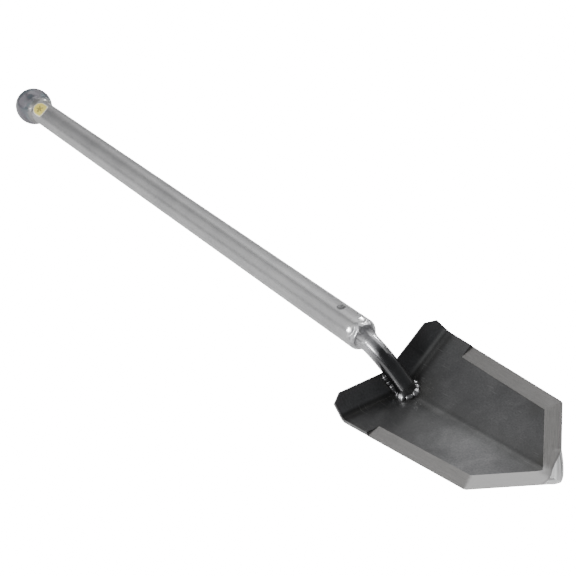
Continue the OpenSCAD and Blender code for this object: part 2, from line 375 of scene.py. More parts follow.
def ball_steel():
    """Heat-tinted steel, on the ball and on its weld ring, which pales towards the tube."""
    n = Nodes("tinted_ball_steel")
    cloud = n.noise(38.0, 5.0, 0.62, 0.6)
    tint = n.ramp(cloud, [(0.30, (0.115, 0.105, 0.135)), (0.45, (0.135, 0.13, 0.15)),
                          (0.56, (0.10, 0.135, 0.155)), (0.72, (0.18, 0.17, 0.18))])
    pits = n.ramp(n.noise(300.0, 3.0, 0.6), [(0.0, 0.0), (0.60, 0.0), (0.72, 1.0)])
    tint = n.blend(n.times(pits, 0.35), tint, (0.13, 0.13, 0.14))
    along, _ = n.axes(n.coords)
    pale = n.line(cloud, 0.004, n.math("SUBTRACT", along, (BALL_JOINT + 2.0) * MM))
    tint = n.blend(n.times(pale, 220.0, clamp=True), tint, (0.3, 0.295, 0.285))
    marks = n.noise(700.0, 2.0, 0.5, vector=n.scaled((1.0, 0.25, 1.0)))
    rough = n.vary(cloud, 0.42, 0.55)
    normal = n.bump(cloud, 0.5, 0.35, n.bump(marks, 0.25, 0.03))
    return n.finish(Base_Color=tint, Metallic=0.55, Roughness=rough, Normal=normal,
                    Coat_Weight=0.7, Coat_Roughness=0.12, Coat_IOR=1.6)


def handle_weld():
    """The weld at the tube's end: like the tube where it starts, glossy and clouded where
    "melt" is high, and ground bright where "polish" is."""
    n = Nodes("ground_weld_steel")
    cloud = n.noise(160.0, 4.0, 0.6, 0.4)
    shade = n.ramp(cloud, [(0.3, (0.18, 0.18, 0.19)), (0.5, (0.32, 0.32, 0.33)),
                           (0.68, (0.46, 0.46, 0.47))])
    wet = n.math("ADD", n.attribute("melt"), n.line(cloud, 1.2, -0.6))
    wet = n.rise(wet, 2.0, -0.4)
    polish = n.rise(n.attribute("polish"), 3.0, -1.0)
    shade = n.blend(polish, n.blend(wet, (0.43, 0.43, 0.433), shade), 0.85)
    rough = n.blend(wet, 0.39, n.vary(cloud, 0.3, 0.42))
    rough = n.blend(polish, rough, 0.27)
    metal = n.math("MAXIMUM", n.line(wet, -0.6, 1.0), polish)
    marks = n.noise(1200.0, 2.0, 0.5, vector=n.scaled((0.3, 1.0, 1.0)))
    normal = n.bump(marks, 0.15, 0.03, n.bump(cloud, 0.3, 0.3))
    return n.finish(Base_Color=shade, Metallic=metal, Roughness=rough, Normal=normal,
                    Coat_Weight=n.line(wet, 0.65, 0.35), Coat_Roughness=0.09, Coat_IOR=1.8)


def plug_steel():
    n = Nodes("burnt_plug_steel")
    cloud = n.noise(600.0, 4.0, 0.65, 0.3)
    shade = n.vary(cloud, (0.05, 0.05, 0.052), (0.2, 0.2, 0.205))
    rough = n.vary(cloud, 0.3, 0.5)
    return n.finish(Base_Color=shade, Metallic=0.8, Roughness=rough,
                    Normal=n.bump(cloud, 0.5, 0.15), Coat_Weight=0.6, Coat_Roughness=0.1)


def shank_steel():
    """Dark heat scale, paler next to the tube's end; painted light takes the pale further down the
    left side.
    """
    n = Nodes("scaled_shank_steel")
    cloud = n.noise(70.0, 5.0, 0.62, 0.4)
    along, aside = n.axes(n.coords)
    pale = n.line(cloud, 0.008, n.math("SUBTRACT", 0.0235, along))
    # painted light: the pale zone reaches further down the shank's left side
    pale = n.times(n.line(aside, -0.15, pale), 90.0, clamp=True)
    shade = n.vary(cloud, (0.038, 0.038, 0.04), (0.068, 0.068, 0.071))
    shade = n.blend(pale, shade, (0.36, 0.36, 0.375))
    rough = n.vary(cloud, 0.22, 0.36)
    normal = n.bump(cloud, 0.35, 0.2, n.bump(n.noise(800.0, 2.0, 0.5), 0.25, 0.02))
    return n.finish(Base_Color=shade, Metallic=n.line(pale, -0.5, 0.95), Roughness=rough,
                    Normal=normal, Coat_Weight=1.0, Coat_Roughness=0.06, Coat_IOR=1.65)


def plate_steel():
    """The blade: mottled heat scale, worn at its edges, with bare ground metal where the
    "ground" attribute says so."""
    n = Nodes("scaled_and_ground_blade_steel")
    flat, grind = n.attribute("flat", "Vector"), n.attribute("grind", "Vector")
    edge, facet, tip = (n.attribute(name) for name in ("edge", "facet", "tip"))
    along, out = n.axes(flat)
    left, right = (n.times(out, slope, clamp=True) for slope in (-150.0, 150.0))

    def spot(a, b, width):
        return n.times(n.hump(along, a, width), n.hump(out, b, width))

    cloud = n.noise(34.0, 5.0, 0.62, 0.5, flat)
    blotch = n.noise(14.0, 3.0, 0.5, 0.8, flat)
    grit = n.noise(620.0, 4.0, 0.75, 0.0, flat)
    shade = n.ramp(cloud, [(0.28, (0.058, 0.058, 0.06)), (0.5, (0.08, 0.08, 0.082)),
                           (0.74, (0.116, 0.116, 0.118))])
    shade = n.mix("OVERLAY", 0.45, shade, n.vary(blotch, 0.3, 0.7))
    shade = n.mix("MULTIPLY", 0.75, shade, n.ramp(grit, [(0.32, 0.45), (0.68, 1.0)]))
    # the heel's left corner took the most heat
    slant = n.line(cloud, 0.03, n.line(out, 0.9, along))
    heat = [(0.0, 0.3), (0.22, 0.52), (0.5, 0.95), (0.7, 1.0), (0.95, 0.84)]
    shade = n.gain(shade, n.ramp(n.times(slant, 1 / 0.16), heat))
    # painted light makes the left flank paler, more so at one spot; one patch on it is darker
    lit = n.times(n.rise(out, -90.0, -0.3), n.times(along, 25.0, clamp=True))
    shade = n.blend(lit, shade, n.gain(shade, 1.35))
    shade = n.blend(spot(116.0, -24.0, 30.0), shade, n.gain(shade, 1.5))
    shade = n.blend(n.times(spot(34.0, -34.0, 22.0), 0.6), shade, 0.03)
    # painted shade: a dark band along the keel; soot in spots
    keel_shade_and_soot = n.times(n.hump(out, 4.0, 10.0), n.rise(along, 3.4, 0.02))
    for a, b, width, strength in SOOT_SPOTS:
        keel_shade_and_soot = n.math("MAXIMUM", keel_shade_and_soot, n.times(spot(a, b, width), strength))
    keel_shade_and_soot = n.times(keel_shade_and_soot, n.rise(grit, 0.7, 0.65))
    shade = n.blend(keel_shade_and_soot, shade, (0.03, 0.03, 0.027))
    # painted shade in both folds, where the scale is also rougher
    far_side = n.times(out, 60.0, clamp=True)
    near_fold = n.times(n.hump(along, 1.5, 4.2), left)
    far_fold = n.times(n.times(n.hump(along, 4.0, 4.8), far_side), 0.75)
    for fold in (near_fold, far_fold):
        shade = n.blend(fold, shade, 0.02)
    # painted light and shade on the ears: the left one and the right one's part next to the shank
    # are made paler, the rest of the right one darker
    ear = n.rise(along, -400.0, -1.4)
    painted_ear_light = n.ramp(n.line(out, 1 / 0.13, 0.5), [(0.62, 1.0), (0.76, 0.05), (0.9, 0.25)])
    ear_shade = n.blend(painted_ear_light, n.gain(shade, 0.45), n.gain(shade, (3.4, 3.4, 3.45)))
    shade = n.blend(ear, shade, ear_shade)
    # painted highlight: a pale streak along the right ear's fold
    painted_fold_streak = n.times(n.hump(along, -4.2, 1.7), far_side)
    painted_fold_streak = n.times(painted_fold_streak, n.ramp(cloud, [(0.3, 0.3), (0.6, 0.7)]))
    shade = n.blend(painted_fold_streak, shade, 0.2)
    # edges worn bright, but for the tip's
    worn = n.rise(edge, -1250.0, 1.2)
    worn = n.times(worn, n.ramp(cloud, [(0.35, 0.15), (0.65, 0.75)]))
    shade = n.blend(n.times(worn, n.line(tip, -0.9, 1.0)), shade, 0.3)
    scratch = n.noise(1.0, 1.0, 0.4, 0.0, n.scaled((60.0, 1300.0, 1.0), flat, turn=0.5))
    scratch = n.ramp(scratch, [(0.68, 0.0), (0.76, 1.0)])
    shade = n.blend(n.times(scratch, 0.22), shade, 0.26)

    # the grinder's edge is ragged against the scale
    marks = n.noise(1500.0, 3.0, 0.6, 0.0, grind)
    bands = n.noise(90.0, 3.0, 0.6, 0.0, grind)
    ragged = n.line(n.noise(420.0, 3.0, 0.6, 0.0, flat), 0.9, -0.45)
    ground = n.math("ADD", n.math("SUBTRACT", n.attribute("ground"), 0.5), ragged)
    ground = n.rise(ground, 5.0, 0.5)
    bare = n.ramp(marks, [(0.25, (0.2, 0.195, 0.19)), (0.75, (0.32, 0.313, 0.307))])
    bare = n.mix("MULTIPLY", 0.4, bare, n.vary(bands, 0.7, 1.0))
    # painted shade darkens the ground bevels by a share that differs by side and between side and
    # tip; painted light makes the left tip paler
    painted_bevel_shade = n.blend(tip, n.line(right, 0.22, 0.33), n.line(right, -0.18, 0.28))
    bare = n.mix("MULTIPLY", painted_bevel_shade, bare, 0.6)
    painted_left_tip_light = n.times(n.times(tip, 0.3), n.math("SUBTRACT", 1.0, right))
    bare = n.blend(painted_left_tip_light, bare, 0.8)
    rim = n.times(n.times(n.hump(facet, -0.9, 0.9), tip), 0.35)
    bare = n.blend(rim, bare, 0.08)
    # the fresh facet on the blunted point, and painted shade on the land outside it
    fresh = n.line(bands, 0.0016, n.math("ADD", facet, -0.0008))
    fresh = n.rise(fresh, 1600.0, 0.5)
    bare = n.blend(fresh, bare, n.ramp(bands, [(0.38, 0.42), (0.55, 1.0)]))
    painted_land_shade = n.times(n.hump(edge, 1.5, 0.45), n.times(right, fresh))
    bare = n.blend(n.times(painted_land_shade, 0.85), bare, 0.1)

    shade = n.blend(ground, shade, bare)
    rough = n.blend(ground, n.vary(cloud, 0.5, 0.38), n.vary(marks, 0.42, 0.55))
    folded = n.math("MAXIMUM", near_fold, far_fold)
    rough = n.blend(folded, rough, 0.75)
    metal = n.line(n.times(fresh, ground), -0.6, n.line(ground, 0.4, 0.5))
    normal = n.bump(cloud, 0.35, 0.25, n.bump(n.blend(ground, grit, marks), 0.5, 0.04))
    return n.finish(Base_Color=shade, Metallic=metal, Roughness=rough, Normal=normal,
                    Coat_Weight=n.rise(folded, -0.4, 0.4), Coat_Roughness=0.2)


def bead_steel():
    """Weld beads, with painted light on the crest of each drop and painted shade between drops."""
    n = Nodes("weld_bead_steel")
    cloud = n.noise(170.0, 4.0, 0.6, 0.4)
    shade = n.vary(cloud, (0.34, 0.34, 0.35), (0.62, 0.62, 0.63))
    crest = n.ramp(n.attribute("crest"), [(0.3, 0.0), (0.8, 1.0)])
    # painted shade between drops, painted light on their crests
    shade = n.blend(crest, n.gain(shade, 0.22), shade)
    rough = n.vary(cloud, 0.2, 0.3)
    normal = n.bump(cloud, 0.3, 0.12, n.bump(n.noise(900.0, 2.0, 0.5), 0.2, 0.02))
    return n.finish(Base_Color=shade, Metallic=0.95, Roughness=rough, Normal=normal,
                    Coat_Weight=0.4, Coat_Roughness=0.12, Coat_IOR=1.6)


def hidden_steel(name, colour):
    """For a CAD solid that is shown as it is."""
    n = Nodes(name, coords="object")
    grain = n.noise(500.0, 3.0, 0.6)
    shade = n.vary(grain, tuple(0.75 * c for c in colour), colour)
    rough = n.vary(grain, 0.3, 0.5)
    return n.finish(Base_Color=shade, Metallic=1.0, Roughness=rough,
                    Normal=n.bump(grain, 0.3, 0.04))


def label_foil():
    """Gold foil with a cream border and a plain rayed shape."""
    n = Nodes("gold_label_foil")
    across_foil = n.attribute("foil", "Vector")
    u, v = n.axes(across_foil)
    ring = n.node("ShaderNodeVectorMath", {0: across_foil}, operation="LENGTH").outputs["Value"]
    wear = n.noise(260.0, 3.0, 0.6)
    gold = n.vary(wear, (1.0, 0.8, 0.12), (1.0, 0.92, 0.2))
    rays = n.math("SINE", n.times(n.math("ARCTAN2", v, u), 5.0))
    inside = n.math("LESS_THAN", ring, n.line(rays, 0.16, 0.36))
    shade = n.blend(n.times(inside, 0.7), gold, (0.22, 0.16, 0.03))
    shade = n.blend(n.math("GREATER_THAN", ring, 0.88), shade, (1.0, 0.96, 0.72))
    return n.finish(Base_Color=shade, Metallic=0.1, Roughness=0.32, Coat_Weight=1.0,
                    Coat_Roughness=0.08, Normal=n.bump(wear, 0.2, 0.05))


# One steel for each slot, and two for CAD solids that are shown as they are.
STEEL = {
    "tube_steel": tube_steel(), "ball_steel": ball_steel(), "handle_weld": handle_weld(),
    "shank_steel": shank_steel(), "plug_steel": plug_steel(), "blade_steel": plate_steel(),
    "blade_weld": bead_steel(), "label_foil": label_foil(),
}
SLEEVE_STEEL = hidden_steel("plain_sleeve_steel", (0.5, 0.5, 0.5))
HEEL_STEEL = hidden_steel("dark_heel_weld_steel", (0.2, 0.2, 0.205))


# ---------------------------------------------------------------- handle
def grind_off(p, deeper=0.0):
    """A point of the handle's end, moved in where a ground spot takes metal away, and
    how near it is to a spot."""
    p, near = Vector(p), 0.0
    for x, a, way in GROUND_SPOTS:
        way = Vector(way).normalized()
        middle = Vector(turned(x, TUBE_R, a))
        centre = middle - SPOT_R * way
        off = (p - middle).length
        near = max(near, math.exp(-((off / 3.2) ** 2)))
        over = (p - centre).length - (SPOT_R - deeper)
        if off < SPOT_REACH and (over > 0.0 or (off < SPOT_CORE and over > -0.6)):
            share = min(1.0, 2.2 - off / 4.5 if off > SPOT_FADE else 1.0)
            p = p - (p - centre).normalized() * over * share
    return tuple(p), near


def off_plug(x, a, turn):
    """Distance on the tube's surface from the middle of a plug weld."""
    aside = (a - turn + math.pi) % TAU - math.pi
    return math.hypot(x - PLUG_X, aside * TUBE_R)


def make_tube():
    def dent(x, a):
        near = min(off_plug(x, a, PLUG_TURN), off_plug(x, a, PLUG_TURN + math.pi))
        hole = -1.9 * max(0.0, 1.0 - (near / (PLUG_R - 0.3)) ** 4)
        return hole + 0.03 * fbm(turned(x, 8, a), 30.0)

    xs = [x for start, end, steps in ((BALL_JOINT - 2.0, -70.0, 110), (-66.0, -34.0, 16),
                                      (-32.0, -18.0, 40), (-16.0, 0.0, 30))
          for x in np.linspace(start, end, steps)]
    verts, faces = revolve([(x, TUBE_R - 0.02) for x in xs], 180, wobble=dent)
    verts = [grind_off(v, 0.08)[0] if v[0] > -10.0 else tuple(v) for v in verts]
    piece("handle_tube_skin", "handle_tube", "tube_steel", verts, faces)


def make_plug(name, node, turn, depth):
    """A plug weld: a shallow crater with a low rim, sunk in the tube's wall."""
    verts, rings, steps = [], [], 22
    for j in range(steps + 1):
        r = (PLUG_R + 0.5) * j / steps
        ring = []
        for t in turns(48):
            x = PLUG_X + r * math.cos(t)
            crater = -depth * math.exp(-((r / 2.3) ** 2) * (1.0 + 0.35 * math.cos(t - 0.6)))
            rim = 0.09 * math.exp(-(((r - 3.7) / 0.6) ** 2)) * (1.0 + 0.5 * math.sin(3 * t + 1.0))
            sink = -0.25 * max(0.0, (r - PLUG_R) / 0.5)
            grain = 0.05 * fbm((x, r * math.sin(t), 0.0), 1.8, seed=turn)
            height = TUBE_R + crater + rim + sink + grain
            ring.append(turned(x, height, turn + r * math.sin(t) / TUBE_R))
        rings.append(add_ring(verts, ring))
    faces = [f[::-1] for f in stitch(rings)]
    piece(name, node, "plug_steel", verts, faces)


def make_ball():
    last = math.asin((TUBE_R - 0.3) / BALL_R)
    profile = [(-BALL_R, 0.0)]
    for k in range(1, 73):
        a = math.pi - (math.pi - last) * k / 72
        profile.append((BALL_R * math.cos(a), BALL_R * math.sin(a)))

    def uneven(x, a):
        return -0.04 + 0.04 * fbm(turned(x, 20, a), 16.0)

    verts, faces = revolve(profile, 144, axis_x=-BALL_REACH, wobble=uneven)
    piece("ball_grip_skin", "ball_grip", "ball_steel", verts, faces)


def make_ball_weld():
    """A weld ring ground to blend from the ball into the tube."""
    steps = [(-4.6, 18.55), (-4.0, 18.45), (-2.6, 18.05), (-0.8, 17.75), (0.8, 17.55),
             (2.1, 17.0), (3.2, 16.1), (4.1, 15.1), (4.8, 14.5), (5.4, 14.22)]
    at = np.linspace(0, len(steps) - 1, 46)
    line_x, line_r = (np.interp(at, range(len(steps)), line) for line in zip(*steps))
    for line in (line_x, line_r):
        for _ in range(3):
            line[1:-1] = (line[:-2] + line[1:-1] + line[2:]) / 3

    def uneven(x, a):
        swell = 0.07 * math.sin(a * 19 + 0.6 * math.sin(3 * a)) + 0.16 * fbm(turned(x, 17, a), 8.0)
        return swell * math.exp(-(((x - 0.6) / 2.6) ** 2)) - 0.05

    profile = list(zip(line_x, line_r))
    verts, faces = revolve(profile, 180, axis_x=BALL_JOINT, wobble=uneven)
    piece("ball_weld_bead", "ball_weld", "ball_steel", verts, faces)


def make_end_weld():
    """The domed weld that closes the tube round the shank, with a fillet on to it."""
    count, reach = 180, math.radians(58)
    flat, skin = DOME_LEN - DOME_R, TUBE_R - 0.01
    profile = [(-6.2, TUBE_R - 0.08), (-6.0, skin)]
    profile += [(x, skin) for x in np.linspace(-5.5, flat, 14)]
    for k in range(1, 15):
        b = reach * k / 14
        radius = TUBE_R - DOME_R + DOME_R * math.cos(b) - 0.08
        profile.append((flat + DOME_R * math.sin(b), radius))
    near, far = (min(shank_path(), key=lambda s: abs(s[0][0] - x)) for x in (8.4, 12.5))

    def uneven(x, t):
        groove = -0.3 * math.exp(-(((x - 5.4) / 0.7) ** 2)) * (0.6 + 0.4 * math.sin(t * 2 + 1.0))
        wave = math.sin(t * 13 + x * 0.9 + 0.8 * math.sin(t * 3))
        ripple = 0.07 * wave * math.exp(-(((x - 4.0) / 2.6) ** 2))
        lump = 0.16 * fbm(turned(x, 14, t), 7.0)
        free = min(1.0, max(0.0, x - 0.3) / 2.0)
        return free * (groove + ripple + lump)

    def on_shank(spot, radius, t):
        (x, z), a = spot
        lift = radius * math.sin(t)
        return np.array([x + lift * math.sin(a), radius * math.cos(t), z + lift * math.cos(a)])

    verts, rings, melt, polish = [], [], [], []
    for x, r in profile:
        ring = []
        for t in turns(count):
            p, touched = grind_off(turned(x, r + 0.03 + uneven(x, t), t))
            ring.append(p)
            melt.append(max(touched, min(1.0, max(0.0, (x - 0.5) / 2.0))))
            polish.append(touched)
        rings.append(add_ring(verts, ring))
    last, steps = np.array(verts[-count:]), 14
    for j in range(1, steps + 1):
        u = j / steps
        ring = []
        for start, t in zip(last, turns(count)):
            p = start * (1 - u) ** 2 + 2 * u * (1 - u) * on_shank(near, SHANK_R + 0.5, t)
            p = p + u * u * on_shank(far, SHANK_R - 0.06, t)
            bulge = 0.2 * math.sin(t * 11 + 2.0 + 3.0 * u) + 0.35 * math.sin(t * 4 + 1.0)
            bulge *= math.sin(math.pi * u)
            ring.append(tuple(p + turned(0.0, bulge, t)))
        rings.append(add_ring(verts, ring))
    melt += [1.0] * (count * steps)
    polish += [0.0] * (count * steps)
    piece("tube_end_dome", "tube_end_weld", "handle_weld", verts, stitch(rings),
          melt=melt, polish=polish)


def shank_path():
    """Points and forward directions of the shank's centre line."""
    spots = []
    for x in np.linspace(-16.0, -BEND_INSET, 4)[:-1]:
        spots.append(((x, 0.0), 0.0))
    for a in np.linspace(0.0, SHANK_DROP, 34):
        spots.append(((-BEND_INSET + BEND_R * math.sin(a), -BEND_R + BEND_R * math.cos(a)), a))
    (x, z), _ = spots[-1]
    for s in np.linspace(0.0, SHANK_TAIL - 0.6, 18)[1:]:
        spots.append(((x + s * math.cos(SHANK_DROP), z - s * math.sin(SHANK_DROP)), SHANK_DROP))
    return spots


def make_shank():
    verts, rings, spots = [], [], shank_path()
    for (x, z), a in spots:
        ring = []
        for t in turns(96):
            r = SHANK_R - 0.08 + 0.03 * fbm(turned(x, 8, t), 18.0)
            lift = r * math.cos(t)
            ring.append((x + lift * math.sin(a), r * math.sin(t), z + lift * math.cos(a)))
        rings.append(add_ring(verts, ring))
    (x, z), _ = spots[-1]
    rings.append(add_ring(verts, [(x, 0.0, z)]) * len(rings[-1]))
    piece("shank_rod", "shank", "shank_steel", verts, stitch(rings))


def make_label():
    """A thin oval foil that follows the tube, with its rim sunk towards it."""
    rings, verts, foil, steps = [], [], [], 12
    height = TUBE_R + 0.12
    straight = (LABEL_L - LABEL_W) / 2
    for j in range(steps + 1):
        share = j / steps
        sink = 0.1 if j == steps else 0.0
        ring = []
        for t in turns(96):
            u = LABEL_W / 2 * math.cos(t) + straight * max(-1.0, min(1.0, 3 * math.cos(t)))
            w = share * LABEL_W / 2 * math.sin(t)
            x = LABEL_AT - BALL_REACH + share * u
            ring.append(turned(x, height - sink, LABEL_TURN + w / height))
            foil.append((share * math.cos(t), share * math.sin(t), 0.0))
        rings.append(add_ring(verts, ring))
    piece("ball_label_foil", "ball_label", "label_foil", verts, stitch(rings), foil=foil)


# ---------------------------------------------------------------- blade
def bend(a, b, depth):
    """Where a point of the flat plate goes: a along the keel from the heel fold, b out
    from the keel (left is negative), and depth below the inside face."""
    side = -1.0 if b < 0 else 1.0
    w = abs(b)
    out, up = across(side), flank_up(side)
    if w < KEEL_RUN:
        t = FLANK * w / KEEL_RUN
        normal = np.array([0.0, -side * math.sin(t), 0.0]) + math.cos(t) * RISE
        middle = HEEL + KEEL_R / math.cos(FLANK) * RISE
        return middle + a * KEEL - (KEEL_R + depth) * normal
    if a >= FOLD_RUN:
        return HEEL + a * KEEL + w * out - depth * up
    if a <= -FOLD_RUN:
        rise = -math.cos(EAR) * KEEL + math.sin(EAR) * up
        front = math.sin(EAR) * KEEL + math.cos(EAR) * up
        return HEEL - a * rise + w * out - depth * front
    t = EAR * (FOLD_RUN - a) / (2 * FOLD_RUN)
    normal = math.sin(t) * KEEL + math.cos(t) * up
    return HEEL + FOLD_RUN * KEEL + FOLD_R * up + w * out - (FOLD_R + depth) * normal


def nose_swell(side, run):
    """How far the blunt nose stands out from the tip edge, at a distance along it."""
    share = max(0.0, 1.0 - run / BLUNT_RUN[side])
    swell = math.sin(0.5 * math.pi * min(1.0, 1.5 * share))
    return BLUNT_OUT[side] * swell * min(1.0, 0.62 + run / 18.0)


def outline(side):
    """Corners of one half of the flat plate, from the nose round to the slot."""
    corner_a = -(EAR_H - CORNER_H)
    top_out = HEEL_HALF - corner_a * math.tan(SIDE_TURN)
    tip = np.array([BLADE_LEN, 0.0])
    back = np.array([-math.cos(TIP_TURN), math.sin(TIP_TURN)])
    out = np.array([math.sin(TIP_TURN), math.cos(TIP_TURN)])
    points = [(BLADE_LEN + 0.35, 0.0), (BLADE_LEN + (0.2 if side > 0 else -0.25), 0.9)]
    for run in np.linspace(2.4, BLUNT_RUN[side], 9 if side > 0 else 4):
        points.append(tuple(tip + back * run + out * nose_swell(side, run)))
    points += [(SHOULDER_AT + 0.9, SHOULDER_HALF - 0.75),
               (SHOULDER_AT - 1.1, SHOULDER_HALF + 0.05),
               (FOLD_RUN, HEEL_HALF), (corner_a, top_out), (-EAR_H, top_out - CORNER_W),
               (-EAR_H, SLOT_HALF + 0.3), (FOLD_RUN, SLOT_HALF + 0.3), (FOLD_RUN, 0.0)]
    return [(a, side * b) for a, b in points]


def inset(points, d):
    """The closed outline moved inwards by d. Points run anticlockwise seen with a to
    the right and b up, or clockwise: the sign of the area tells which."""
    p = np.array(points)
    area = np.sum(p[:, 0] * np.roll(p[:, 1], -1) - np.roll(p[:, 0], -1) * p[:, 1])
    way = 1.0 if area > 0 else -1.0
    out = []
    n = len(p)
    for i in range(n):
        e1 = p[i] - p[i - 1]
        e2 = p[(i + 1) % n] - p[i]
        n1 = way * np.array([-e1[1], e1[0]]) / np.linalg.norm(e1)
        n2 = way * np.array([-e2[1], e2[0]]) / np.linalg.norm(e2)
        m = (n1 + n2) / (1.0 + n1 @ n2)
        out.append(p[i] + d * m)
    return np.array(out)


def edge_distance(a, b, loop):
    """Distance of each point to a closed loop."""
    best = np.full(a.shape, 1e9)
    p = np.array(loop)
    for s, e in zip(p, np.roll(p, -1, axis=0)):
        d = e - s
        t = np.clip(((a - s[0]) * d[0] + (b - s[1]) * d[1]) / (d @ d), 0.0, 1.0)
        best = np.minimum(best, np.hypot(a - s[0] - t * d[0], b - s[1] - t * d[1]))
    return best


def sample(corners, step, closed=False):
    """Points about a step apart on the straight lines between corners."""
    corners, out = [np.array(c) for c in corners], []
    for s, e in zip(corners, corners[1:] + (corners[:1] if closed else [])):
        k = max(1, int(round(np.linalg.norm(e - s) / step)))
        out += [s + (e - s) * j / k for j in range(k)]
    return out if closed else out + [corners[-1]]


def plate_guides(loop):
    """The plate's lines that the mesh has to follow, as points and edges."""
    points, edges = [], []

    def add_path(corners, step, closed=False):
        numbers = add_ring(points, [tuple(p) for p in sample(corners, step, closed)])
        edges.extend(zip(numbers, numbers[1:] + (numbers[:1] if closed else [])))

    add_path(loop, FINE, closed=True)
    for d in (0.15, 0.4, 0.8):
        add_path(inset(loop, d), FINE, closed=True)
    for side in (-1, 1):
        # lines each side of the bevel's inner edge, and of the step where it starts
        for shift in (-0.4, 0.0, 0.4):
            inner, mitre = bevel_lines(side, BEVEL_W + shift)
            add_path(inner, FINE)
        add_path(mitre, FINE)
        for step_at in (BEVEL_FROM - 0.35, BEVEL_FROM):
            add_path([(step_at, side * (BEVEL_HALF - BEVEL_W - 1.2)),
                      (step_at, side * (BEVEL_HALF - 0.9))], 0.8)
        # lines along the ear's fold and along the keel's curve
        for k in range(7):
            a = -FOLD_RUN + 2 * FOLD_RUN * k / 6
            add_path([(a, side * (SLOT_HALF + 1.3)), (a, side * (HEEL_HALF - 1.2))], COARSE)
        for share in (0.33, 0.66, 1.0):
            b = side * KEEL_RUN * share
            add_path([(FOLD_RUN + 1.2, b), (BLADE_LEN - 5.0, b)], COARSE)
    return points, edges


def plate_filling(loop):
    """Loose points that fill the plate, closest together near its point."""
    rng = np.random.default_rng(7)
    grid = []
    for a in np.arange(-EAR_H + 2.0, BLADE_LEN - 2.0, COARSE):
        for b in np.arange(-68.0, 68.1, COARSE):
            grid.append((a + rng.uniform(-0.4, 0.4), b + rng.uniform(-0.4, 0.4)))
    for _ in range(2600):
        run, deep = rng.uniform(0.0, 30.0), rng.uniform(-2.0, 4.5)
        side = 1 if rng.uniform() < 0.75 else -1
        a = BLADE_LEN - run * math.cos(TIP_TURN) - deep * math.sin(TIP_TURN)
        b = side * (run * math.sin(TIP_TURN) - deep * math.cos(TIP_TURN))
        if side * b > 0:
            grid.append((a, b))
    grid = np.array([p for p in grid if in_loop(p, loop)])
    clear = np.where(grid[:, 0] > 155.0, 0.95, 1.6)
    far = edge_distance(grid[:, 0], grid[:, 1], loop) > clear
    return [tuple(p) for p in grid[far]]


def make_blade():
    """The plate, meshed flat between its two outlines and then bent."""
    loop = outline(1) + outline(-1)[::-1][1:-1]
    points, edges = plate_guides(loop)
    points += plate_filling(loop)
    mesh_points, _, triangles, _, _, _ = geometry.delaunay_2d_cdt(
        [Vector(p) for p in points], edges, [], 0, 1e-5)
    flat = np.array([(v.x, v.y) for v in mesh_points])
    triangles = [f for f in triangles if in_loop(flat[list(f)].mean(axis=0), loop)]
    used = sorted({i for f in triangles for i in f})
    index = {old: new for new, old in enumerate(used)}
    flat = flat[used]
    a, b = flat[:, 0], flat[:, 1]
    d = edge_distance(a, b, loop)
    top, bottom, ground, facet, tip = plate_faces(a, b, d)

    count = len(flat)
    verts = [bend(a[i], b[i], depth[i]) for depth in (top, bottom) for i in range(count)]
    inside = []
    for f in triangles:
        f = [index[i] for i in f]
        p, q, r = (flat[i] for i in f[:3])
        clockwise = (q[0] - p[0]) * (r[1] - p[1]) - (q[1] - p[1]) * (r[0] - p[0]) < 0
        inside.append(f[::-1] if clockwise else f)
    faces = inside + [[i + count for i in f][::-1] for f in inside]
    # the rim between the two faces
    ways = {(i, j) for f in inside for i, j in zip(f, f[1:] + f[:1])}
    faces += [[j, i, i + count, j + count] for i, j in sorted(ways) if (j, i) not in ways]

    spread = np.column_stack([a, b, np.zeros(count)]) * MM
    piece("blade_plate", "blade", "blade_steel", verts, faces, sharp=24.0,
          flat=np.vstack([spread, spread + [0, 0, 0.02]]),
          grind=np.tile(grind_coords(a, b), (2, 1)),
          ground=np.concatenate([ground, np.zeros(count)]),
          facet=np.tile(np.maximum(facet, -20.0) * MM, 2),
          tip=np.tile(tip, 2),
          edge=np.tile(np.minimum(d, 20.0) * MM, 2))


def in_loop(p, loop):
    x, y = p
    hit = False
    for (x1, y1), (x2, y2) in zip(loop, loop[1:] + loop[:1]):
        if (y1 > y) != (y2 > y) and x < (x2 - x1) * (y - y1) / (y2 - y1) + x1:
            hit = not hit
    return hit


def bevel_lines(side, width):
    """The line at some width in from the edges, and the mitre between side and tip."""
    def cross(d):
        """Where the lines a distance inside the side edge and the tip edge meet."""
        m = np.array([[math.sin(t), math.cos(t)] for t in (SIDE_TURN, TIP_TURN)])
        on = np.array([[FOLD_RUN, HEEL_HALF], [SHOULDER_AT, SHOULDER_HALF]])
        return tuple(np.linalg.solve(m, (m * on).sum(axis=1) - d) * [1, side])

    start = (BEVEL_FROM, side * (BEVEL_HALF - width / math.cos(SIDE_TURN)))
    nose = SHOULDER_AT + (SHOULDER_HALF - width / math.cos(TIP_TURN)) / math.tan(TIP_TURN)
    return [start, cross(width), (nose, 0.0)], [cross(width), cross(1.3)]


def edge_depths(a, b):
    """How far each point is inside the line of its side edge, and of its tip edge."""
    w = np.abs(b)
    side = (a - FOLD_RUN) * math.sin(SIDE_TURN) + (w - HEEL_HALF) * math.cos(SIDE_TURN)
    tip = (a - SHOULDER_AT) * math.sin(TIP_TURN) + (w - SHOULDER_HALF) * math.cos(TIP_TURN)
    return -side, -tip


def grind_coords(a, b):
    """Coordinates for grinding marks, drawn out along each bevel."""
    d_side, d_tip = edge_depths(a, b)
    run_side = a * math.cos(SIDE_TURN) - np.abs(b) * math.sin(SIDE_TURN)
    run_tip = a * math.cos(TIP_TURN) - np.abs(b) * math.sin(TIP_TURN)
    tip = d_tip < d_side
    along = np.where(tip, run_tip + 300.0, run_side)
    deep = np.where(tip, d_tip, d_side)
    return np.column_stack([along * MM * 0.05, deep * MM, np.where(b < 0, -0.3, 0.3)])


